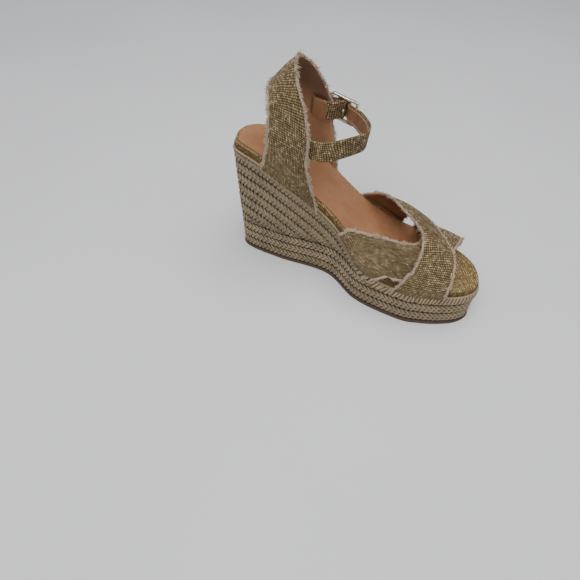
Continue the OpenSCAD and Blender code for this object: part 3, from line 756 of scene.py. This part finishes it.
PATTERNS = {
    "vamp_strap_over": dict(
        rear=edge_curve(160, [[166, -38.5, 13], [170, -33.5, 24], [171, -25, 34], [166, -11, 42.5],
                              [154, 4, 41], [141, 16, 37], [129, 24, 35], [116, 29.5, 27],
                              [105, 34, 13]], 96),
        front=edge_curve(201, [[201, -30.5, 10.5], [200, -22.5, 21], [195, -10.5, 30.5], [186, 0, 34],
                               [176, 10.5, 34.5], [166, 20, 34.5], [156, 28.5, 31], [147, 34.5, 22.5],
                               [141.5, 38.5, 11.5]], 138),
        crown=CROWN, grid=(130, 30), reach=(0.9, 2.4)),
    "vamp_strap_under": dict(
        rear=edge_curve(100, [[108, -23, 14.5], [122, -25, 26], [138, -26, 34.5], [153, -24.5, 38],
                              [164, -18, 37], [168, -5, 35], [167, 8, 32.5], [163, 20, 29], [158, 31, 21.5],
                              [154, 37.5, 11.5]], 151),
        front=edge_curve(140, [[151, -39.4, 11], [160, -38.4, 11.7], [170, -34, 12.5], [180, -26.5, 19],
                               [188, -13, 23.5], [192, 1, 24], [194, 13, 24.5], [195, 23, 23.5],
                               [195.5, 30, 18.5], [195, 33, 10]], 193),
        crown=CROWN * 0.6, grid=(130, 30), reach=(1.2, 3.1)),
    "heel_band": dict(
        rear=edge_curve(26, [[29.5, -28, 11], [33, -30, 29], [34.5, -30, 48], [32, -26, 60],
                             [25.5, -15, 62.5], [21, 1, 60.5], [23, 16.5, 58.5], [28, 26.5, 53.5],
                             [31.5, 30, 45], [31.5, 31, 28], [30, 31.5, 10]], 28),
        front=edge_curve(76, [[70, -27.5, 26], [67.5, -30, 41], [68, -30, 58], [63, -27.5, 76], [52, -20, 87],
                              [42, -2, 91], [46, 13, 85], [54, 22, 74], [59.5, 29, 58], [62.5, 31, 40],
                              [67, 32, 22]], 71),
        crown=1.6, grid=(230, 24), reach=(1.4, 3.4)),
}


def fringe(name, edges, reach, step=0.6, threads=4, thick=0.24):
    """Frayed threads along raw edges. An edge is points, directions out of the cloth and its normals."""
    paths, faces = [], []
    share = np.array([0, 0.3, 0.6, 0.85, 1.0])
    for points, out, normal in edges:
        rows = resampled(np.hstack([points, out, normal]), step)
        along = tangents(rows[:, :3])
        knots = np.arange(0, len(rows) + 6, 5)
        clump = np.interp(np.arange(len(rows)), knots, rng.uniform(0.35, 1.25, len(knots)))
        swing = np.interp(np.arange(len(rows)), knots, rng.normal(0, 0.55, len(knots)))
        for row, run, big, sway in zip(rows, along, clump, swing):
            for _ in range(threads):
                root, go, up_ = row[:3] + run * rng.uniform(-0.4, 0.4), row[3:6], row[6:9]
                long = rng.uniform(*reach) * big * (1.5 if rng.random() < 0.05 else 1.0)
                aim = unit(go + run * (sway + rng.normal(0, 0.35)) + up_ * rng.normal(0.1, 0.42))
                curl = unit(run * rng.normal(0, 1) + up_ * rng.normal(0, 1) - np.array([0, 0, 0.3]))
                back = rng.uniform(0.3, 1.3)
                start = root - go * back - up_ * rng.uniform(-0.25, 0.7)
                paths.append(start + aim * (share * (long + back))[:, None]
                             + curl * (share**2 * long * 0.4)[:, None])
                faces.append(np.tile(unit(np.cross(aim, run + 1e-3)), (5, 1)))
    taper = np.array([0.3, 1.0, 1.0, 0.8, 0.02]) * thick
    me = tubes(np.stack(paths), np.stack(faces), taper, taper, 3)
    return finish_piece(me, name, "root", cotton)


def loose_yarns(name, edges, depth_in=(0.0, 0.75), thick=0.34):
    """Pale yarns that wander along a raw edge where the cloth has opened up."""
    obs = []
    for j, (points, out, normal) in enumerate(edges):
        rows = resampled(np.hstack([points, out, normal]), 0.8)
        paths, wide = [], []
        n = len(rows)
        for inset in depth_in:
            knots = np.arange(0, n + 3, 3)
            wave = np.interp(np.arange(n), knots, rng.normal(0, 0.5, len(knots)))
            lift = np.interp(np.arange(n), knots, rng.normal(0, 0.3, len(knots)))
            paths.append(rows[:, :3] - rows[:, 3:6] * (inset + wave)[:, None]
                         - rows[:, 6:9] * (0.25 + lift)[:, None])
            lump = thick * np.interp(np.arange(n), knots, rng.uniform(0.35, 1.5, len(knots)))
            lump[[0, -1]] = 0.02
            wide.append(lump)
        face = np.stack([rows[:, 6:9]] * len(paths))
        obs.append(finish_piece(tubes(np.stack(paths), face, np.stack(wide), np.stack(wide) * 0.8, 6),
                                f"{name}_{j + 1}", "root", cotton))
    return obs


def raw_edges(grid):
    """Both long edges of a strap's grid, as points, directions out and normals."""
    found = []
    for edge, near, across in ((grid[:, 0], grid[:, 1], 1), (grid[:, -1], grid[:, -2], -1)):
        found.append((edge, unit(edge - near), unit(np.cross((near - edge) * across, tangents(edge)))))
    return found


def flat_size(grid):
    """Greatest width and length of a strap's grid along the cloth."""
    return max(lengths(row)[-1] for row in grid), max(lengths(line)[-1] for line in grid.swapaxes(0, 1))


def strap(node, rear, front, crown, grid, reach):
    """Canvas, lining and frayed edges of one strap."""
    surface = strap_surface(rear, front, crown)
    me, places = surface_mesh(*grid, surface)
    cloth = thickened(finish_piece(me, f"{node}_canvas", "root", canvas), CANVAS_T)
    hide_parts(node)
    hide = band_leather if node == "heel_band" else lining_leather
    lining_me = surface_mesh(*grid, inside(surface, CANVAS_T + GAP))[0]
    lining = thickened(finish_piece(lining_me, f"{node}_leather", "root", hide), LINING_T)
    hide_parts(f"{node}_lining")
    edges = raw_edges(places)
    yarns = loose_yarns(f"{node}_edge_yarn", edges)
    tufts = fringe(f"{node}_fringe", edges, reach)
    width, run = flat_size(places)


for node, pattern in PATTERNS.items():
    strap(node, **pattern)

# ---- ankle strap ----------------------------------------------------------------------------
STRAP_Z0 = float(top_z(68.0))


def strap_point(p):
    return np.array([p[0], p[1], STRAP_Z0 + p[2]])


BUCKLE_AT = strap_point([68.5, 34.5, 58])
PITCH, YAW = math.radians(5), math.radians(-9)
BUCKLE_X = np.array([math.cos(YAW) * math.cos(PITCH), math.sin(YAW) * math.cos(PITCH), -math.sin(PITCH)])
BUCKLE_Y = np.array([-math.sin(YAW), math.cos(YAW), 0.0])
BUCKLE_Z = np.cross(BUCKLE_X, BUCKLE_Y)


def from_buckle(x, y, z=0.0):
    return BUCKLE_AT + BUCKLE_X * x + BUCKLE_Y * y + BUCKLE_Z * z


LOOP_R = BAR_R + BAR_PLAY + LOOP_WALL
DIP = RAIL_T / 2 + 1.1 + STRAP_T / 2
HUMP = LOOP_R + 0.8 + STRAP_T / 2
RAIL_X = BUCKLE_LEN / 2 - RAIL_W / 2
ARC = [[57, -24.5, 51], [68, -25.8, 52.5], [80, -27.6, 54.8], [89.5, -24.8, 58], [98, -16.8, 60],
       [103, -6.2, 59.8], [102, 3.2, 59.6], [96.6, 12, 59.4], [89.7, 19.8, 58.6]]
WEAVE = [[RAIL_X + 5.5, -DIP - 1.9], [RAIL_X, -DIP], [RAIL_X - 4.5, -DIP + 1.2], [3.6, HUMP - 1.3], [0, HUMP],
         [-3.6, HUMP - 1.3], [4.5 - RAIL_X, -DIP + 1.2], [-RAIL_X, -DIP], [-RAIL_X - 4, -DIP + 0.2]]
STRAP_LINE = np.array([strap_point(p) for p in ARC] + [from_buckle(*p) for p in WEAVE])
STRAP_LEAN = np.array([0, 0, 0, 0, 0, 3, 5, 6, 6, 3, 1, 0, 0, 0, 0, 0, 0, 0], float)
fine = np.linspace(0, 1, 1200)
strap_path = resampled(np.hstack([on_curve(STRAP_LINE, fine), on_curve(STRAP_LEAN[:, None], fine)]), 0.75)
strap_lean, strap_path = np.radians(strap_path[:, 3:]), strap_path[:, :3]


def strap_axes(path, lean):
    """Outward and upward directions of a strap that leans out at its top."""
    run = tangents(path)
    side = unit(np.cross(run, [0, 0, 1]))
    up_ = np.cross(side, run)
    return side * np.cos(lean) - up_ * np.sin(lean), up_ * np.cos(lean) + side * np.sin(lean)


strap_out, strap_up = strap_axes(strap_path, strap_lean)


def belt(name, path, axes, low, high, half_w, round_by, body, mat):
    """A flat strap along a path, between two offsets from it, with rounded edges."""
    side, up_ = axes
    mid_off, half_t = (low + high) / 2, (high - low) / 2
    quarter = np.linspace(0, np.pi / 2, 4)
    section = []
    for cx, cy, start in ((1, 1, 0), (-1, 1, np.pi / 2), (-1, -1, np.pi), (1, -1, 1.5 * np.pi)):
        for q in quarter + start:
            section.append([cx * (half_w - round_by) + round_by * math.cos(q),
                            cy * (half_t - round_by) + round_by * math.sin(q)])
    flat = []
    for k in range(16):
        a, b = np.array(section[k]), np.array(section[(k + 1) % 16])
        steps = 6 if np.linalg.norm(b - a) > half_w else 1
        flat += [a + (b - a) * j / steps for j in range(steps)]
    flat = np.array(flat + [flat[0]])
    n = len(flat) - 1
    rows = np.vstack([path[:1], path, path[-1:]])
    side, up_ = np.vstack([side[:1], side, side[-1:]]), np.vstack([up_[:1], up_, up_[-1:]])
    me, a, b, _ = grids(1, n, len(rows) - 1)
    col, row = np.rint(a * n).astype(int), np.rint(b * (len(rows) - 1)).astype(int)
    small = np.where((row == 0) | (row == len(rows) - 1), 0.0, 1.0)
    points = (rows[row] + up_[row] * (flat[col, 0] * small)[:, None]
              + side[row] * (mid_off + flat[col, 1] * small)[:, None])
    girth = lengths(flat)
    along = lengths(rows)
    me = set_in_frame(me, points, np.column_stack([girth[col], along[row]]))
    layer = me.attributes.new("raw_edge", "FLOAT", "POINT")
    layer.data.foreach_set("value", np.full(len(me.vertices), 5.0, np.float32))
    bm = bmesh.new()
    bm.from_mesh(merged(me))
    bmesh.ops.recalc_face_normals(bm, faces=bm.faces)
    bm.to_mesh(me)
    bm.free()
    return finish_piece(me, name, body, mat)


def stitch_row(name, path, axes, up_by, side_by, body, mat, step=2.6, long=1.9, thick=0.28):
    """A row of sewn stitches beside a strap's path."""
    fine = resampled(np.hstack([path + axes[1] * up_by + axes[0] * side_by, axes[0]]), 0.2)
    fine, side = fine[:, :3], fine[:, 3:]
    d = lengths(fine)
    paths, faces = [], []
    for start in np.arange(1.0, d[-1] - long, step):
        at = np.array([start, start + long * 0.25, start + long * 0.75, start + long])
        p = np.column_stack([np.interp(at, d, fine[:, k]) for k in range(3)])
        out = np.column_stack([np.interp(at, d, side[:, k]) for k in range(3)]) * math.copysign(1, side_by)
        paths.append(p + out * (np.array([-0.3, 0.12, 0.12, -0.3]))[:, None])
        faces.append(out)
    taper = np.array([0.5, 1, 1, 0.5]) * thick
    me = tubes(np.stack(paths), unit(np.stack(faces)), taper, taper, 6)
    return finish_piece(me, name, body, mat)


def across_joint(ob):
    """Bakes a piece's placement into its mesh."""
    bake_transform(ob)


half_strap, half_layers = STRAP_W / 2, STRAP_T / 2
EDGE_IN, SEAM_IN, SEAM_ENDS = 0.7, 2.3, slice(6, -6)
strap_axis = (strap_out, strap_up)
strap_cloth = belt("ankle_strap_canvas", strap_path, strap_axis, half_layers - CANVAS_T, half_layers,
                   half_strap, 0.55, None, canvas)
strap_back = belt("ankle_strap_leather", strap_path, strap_axis, -half_layers, LINING_T - half_layers,
                  half_strap - 0.9, 0.35, None, lining_leather)
sewn_path, sewn_axis = strap_path[SEAM_ENDS], (strap_out[SEAM_ENDS], strap_up[SEAM_ENDS])
strap_rim = [belt(f"ankle_strap_turned_edge_{k + 1}", strap_path + strap_up * z, strap_axis,
                  0.1 - half_layers, half_layers - 0.5, 0.75, 0.6, None, canvas)
             for k, z in enumerate((half_strap - EDGE_IN, EDGE_IN - half_strap))]
strap_seams = [stitch_row(f"ankle_strap_seam_{k + 1}", sewn_path, sewn_axis, z, -half_layers, None, cotton)
               for k, z in enumerate((half_strap - SEAM_IN, SEAM_IN - half_strap))]
for ob in [strap_cloth, strap_back, *strap_rim, *strap_seams]:
    across_joint(ob)
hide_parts("ankle_strap")
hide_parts("ankle_strap_lining")

# ---- buckle and its tab ------------------------------------------------------------------------
TAB_T, LOOP_T = 2.2, 0.9
TAB_LINE = [[-0.6, -LOOP_R + 1], [-1.9, -4.8], [-4.3, -9.2], [-8, -12], [-12, -13.2], [-19, -13.4]]
loop_turn = np.radians(np.linspace(60, -200, 14))
loop = [[(BAR_R + TAB_T / 4 + 0.5) * math.cos(a), (BAR_R + TAB_T / 4 + 0.5) * math.sin(a)] for a in loop_turn]
tab_path = resampled(on_curve(np.array([from_buckle(*p) for p in TAB_LINE]), np.linspace(0, 1, 300)), 0.6)


def on_edge(path):
    """Axes of a strap that stands upright at the buckle."""
    side = unit(np.cross(tangents(path), BUCKLE_Z))
    return side, np.tile(BUCKLE_Z, (len(path), 1))


tab = belt("buckle_tab_canvas", tab_path, on_edge(tab_path), -TAB_T / 2, TAB_T / 2, half_strap, 0.7, None,
           canvas)
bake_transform(tab)
loop_path = resampled(np.array([from_buckle(*p) for p in loop]), 0.35)
PRONG_GAP = 3.2
loop_half = (half_strap - PRONG_GAP / 2) / 2
loops = [belt(f"buckle_tab_loop_{k + 1}", loop_path + BUCKLE_Z * z, on_edge(loop_path), -LOOP_T / 2,
              LOOP_T / 2, loop_half, 0.35, "ankle_loop", canvas)
         for k, z in enumerate((half_strap - loop_half, loop_half - half_strap))]
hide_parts("buckle_tab")


def buckle_frame_mesh():
    """A flat frame with rounded corners and eased edges."""
    frame_h = STRAP_W + 2 * SIDE_PLAY + 2 * RAIL_W
    bm = bmesh.new()
    bmesh.ops.create_grid(bm, x_segments=3, y_segments=3, size=0.5)
    xs = sorted({round(v.co.x, 4) for v in bm.verts})
    new_x = dict(zip(xs, (-BUCKLE_LEN / 2, RAIL_W - BUCKLE_LEN / 2, BUCKLE_LEN / 2 - RAIL_W, BUCKLE_LEN / 2)))
    new_y = dict(zip(xs, (-frame_h / 2, RAIL_W - frame_h / 2, frame_h / 2 - RAIL_W, frame_h / 2)))
    hole = [f for f in bm.faces if f.calc_center_median().length < 0.01]
    bmesh.ops.delete(bm, geom=hole, context="FACES")
    for v in bm.verts:
        v.co = (new_x[round(v.co.x, 4)], new_y[round(v.co.y, 4)], -RAIL_T / 2)
    made = bmesh.ops.extrude_face_region(bm, geom=bm.faces[:])
    lifted = [g for g in made["geom"] if isinstance(g, bmesh.types.BMVert)]
    bmesh.ops.translate(bm, verts=lifted, vec=(0, 0, RAIL_T))
    bmesh.ops.recalc_face_normals(bm, faces=bm.faces)
    upright = [e for e in bm.edges if abs((e.verts[0].co - e.verts[1].co).z) > 1
               and abs(abs(e.verts[0].co.x) - BUCKLE_LEN / 2) < 0.01
               and abs(abs(e.verts[0].co.y) - frame_h / 2) < 0.01]
    bmesh.ops.bevel(bm, geom=upright, offset=2.4, segments=6, profile=0.5, affect="EDGES", material=-1)
    sharp = [e for e in bm.edges if len(e.link_faces) == 2 and e.calc_face_angle() > math.radians(50)]
    bmesh.ops.bevel(bm, geom=sharp, offset=0.42, segments=3, profile=0.5, affect="EDGES", material=-1)
    turn = Matrix((BUCKLE_X, BUCKLE_Z, BUCKLE_Y)).transposed()
    me = bpy.data.meshes.new("frame")
    bmesh.ops.recalc_face_normals(bm, faces=bm.faces)
    bm.to_mesh(me)
    bm.free()
    co = np.zeros(len(me.vertices) * 3)
    me.vertices.foreach_get("co", co)
    me.vertices.foreach_set("co", in_frame(co.reshape(-1, 3) @ np.array(turn).T + BUCKLE_AT).ravel())
    if turn.determinant() < 0:
        me.flip_normals()
    return me


buckle = finish_piece(buckle_frame_mesh(), "buckle_frame_polished", "buckle", metal)
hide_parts("buckle_frame")
for node, mat in (("buckle_bar", metal), ("buckle_prong", metal), ("wedge_core", wedge_cork),
                  ("insole_board", wedge_cork), ("footbed_foam", wedge_cork)):
    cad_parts[node].data.materials.clear()
    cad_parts[node].data.materials.append(mat)


# ---- patch inside the heel band ---------------------------------------------------------------
def surface_tree(node):
    """A tree of a CAD node's surface, for casting rays at."""
    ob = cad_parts[node]
    bm = bmesh.new()
    bm.from_mesh(ob.data)
    tree = BVHTree.FromBMesh(bm)
    bm.free()
    return tree


PATCH_FROM, PATCH_TO, PATCH_H, PATCH_DROP = -25.5, -8.2, 18.5, 1.6
PATCH_SQUARENESS, PATCH_FACE, PATCH_LIFT, CAST_FROM = 7, -7.5, 0.45, -22.0
lining_tree = surface_tree("heel_band_lining")


def on_patch(x, y):
    """Points of the patch at shares x and y from its middle: it lies on the lining and over the tab's end."""
    power = PATCH_SQUARENESS
    k = np.maximum(np.abs(x), np.abs(y)) / (np.abs(x) ** power + np.abs(y) ** power + 1e-9) ** (1 / power)
    px = (PATCH_FROM + PATCH_TO) / 2 + x * k * (PATCH_TO - PATCH_FROM) / 2
    pz = y * k * PATCH_H / 2 - PATCH_DROP
    tab_x, tab_y = np.array(TAB_LINE)[::-1].T
    tab_face = np.interp(px, tab_x, tab_y) - TAB_T / 2 - 0.3
    over_tab = np.clip((half_strap + 1.6 - np.abs(pz)) / 1.8, 0, 1) * np.clip((px + 23.5) / 4, 0, 1)
    over_tab = over_tab * over_tab * (3 - 2 * over_tab)
    points = []
    for u, w, face, share in zip(px, pz, tab_face, over_tab):
        start = from_buckle(u, CAST_FROM, w)
        hit = lining_tree.ray_cast(Vector(in_frame(start)), Vector(BUCKLE_Y), 0.05)[0]
        depth = PATCH_FACE
        if hit is not None:
            depth = min(depth, float(np.dot(np.array(hit) / MM + ORIGIN - BUCKLE_AT, BUCKLE_Y)))
        resting = depth - PATCH_LIFT
        points.append(from_buckle(u, resting + (min(face, resting) - resting) * share, w))
    return np.array(points), np.column_stack([px, pz])


def patch_mesh():
    me, a, b, _ = grids(1, 40, 40)
    return set_in_frame(me, *on_patch((a - 0.5) * 2, (b - 0.5) * 2))


patch = thickened(finish_piece(patch_mesh(), "tab_patch_leather", "root", patch_leather), 0.8)
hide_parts("tab_patch")
SEAM_SHARE = 0.84
seam_corners = np.array([(-1, 1), (-1, -1), (1, -1), (1, 1)], float) * SEAM_SHARE
seam_line = on_patch(*resampled(seam_corners, 0.03).T)[0]
seam_axis = (np.tile(-BUCKLE_Y, (len(seam_line), 1)), np.zeros((len(seam_line), 3)))
stitch_row("tab_patch_seam", seam_line, seam_axis, 0.0, 0.05, "root", seam_thread, 2.2, 1.6, 0.26)

# ---- camera, light and floor -------------------------------------------------------------------
CAMERA_AT = Vector((0.0789, -0.2933, 0.3044))
LOOK_TURN, LOOK_DOWN, ROLL = math.radians(115.63), math.radians(49.62), math.radians(-3.135)
LENS = 26.99
ahead = Vector((math.cos(LOOK_TURN) * math.cos(LOOK_DOWN), math.sin(LOOK_TURN) * math.cos(LOOK_DOWN),
                -math.sin(LOOK_DOWN)))
level = Vector((math.sin(LOOK_TURN), -math.cos(LOOK_TURN), 0))
upright = level.cross(ahead)
right = level * math.cos(ROLL) - upright * math.sin(ROLL)
camera_up = right.cross(ahead)
camera = bpy.data.objects.new("camera", bpy.data.cameras.new("camera"))
camera.data.lens = LENS
camera.data.sensor_width = 36
camera.data.clip_start = 0.01
camera.matrix_world = Matrix((
    (right.x, camera_up.x, -ahead.x, CAMERA_AT.x), (right.y, camera_up.y, -ahead.y, CAMERA_AT.y),
    (right.z, camera_up.z, -ahead.z, CAMERA_AT.z), (0, 0, 0, 1)))
bpy.context.scene.collection.objects.link(camera)
bpy.context.scene.camera = camera


def softbox(name, at, size, power, aim=(0.0, 0.0, 0.05)):
    light = bpy.data.objects.new(name, bpy.data.lights.new(name, "AREA"))
    light.data.shape = "SQUARE"
    light.data.size = size
    light.data.energy = power
    light.location = at
    light.rotation_euler = (Vector(aim) - Vector(at)).to_track_quat("-Z", "Y").to_euler()
    bpy.context.scene.collection.objects.link(light)


softbox("key", (-0.1, -0.6, 1.25), 0.9, 13.0)
softbox("overhead", (0.15, 0.3, 1.35), 1.0, 9.5)
softbox("fill", (0.9, -0.5, 0.8), 1.2, 1.6)
world = bpy.data.worlds.new("studio")
world.use_nodes = True
world.node_tree.nodes["Background"].inputs[0].default_value = (0.92, 0.95, 1.0, 1)
world.node_tree.nodes["Background"].inputs[1].default_value = 0.4
bpy.context.scene.world = world

floor_finish = Finish("pale_floor", Roughness=0.75)
floor_tone = floor_finish.noise(floor_finish.place(), 0.004, 2)
floor_stops = [(0.3, (0.675, 0.675, 0.685)), (0.7, (0.715, 0.715, 0.725))]
floor_mat = floor_finish.done(floor_finish.ramp(floor_tone, floor_stops))
bm = bmesh.new()
bmesh.ops.create_grid(bm, x_segments=1, y_segments=1, size=3)
floor_mesh = bpy.data.meshes.new("floor")
bm.to_mesh(floor_mesh)
bm.free()
floor_mesh.materials.append(floor_mat)
floor = bpy.data.objects.new("floor", floor_mesh)
bpy.context.scene.collection.objects.link(floor)
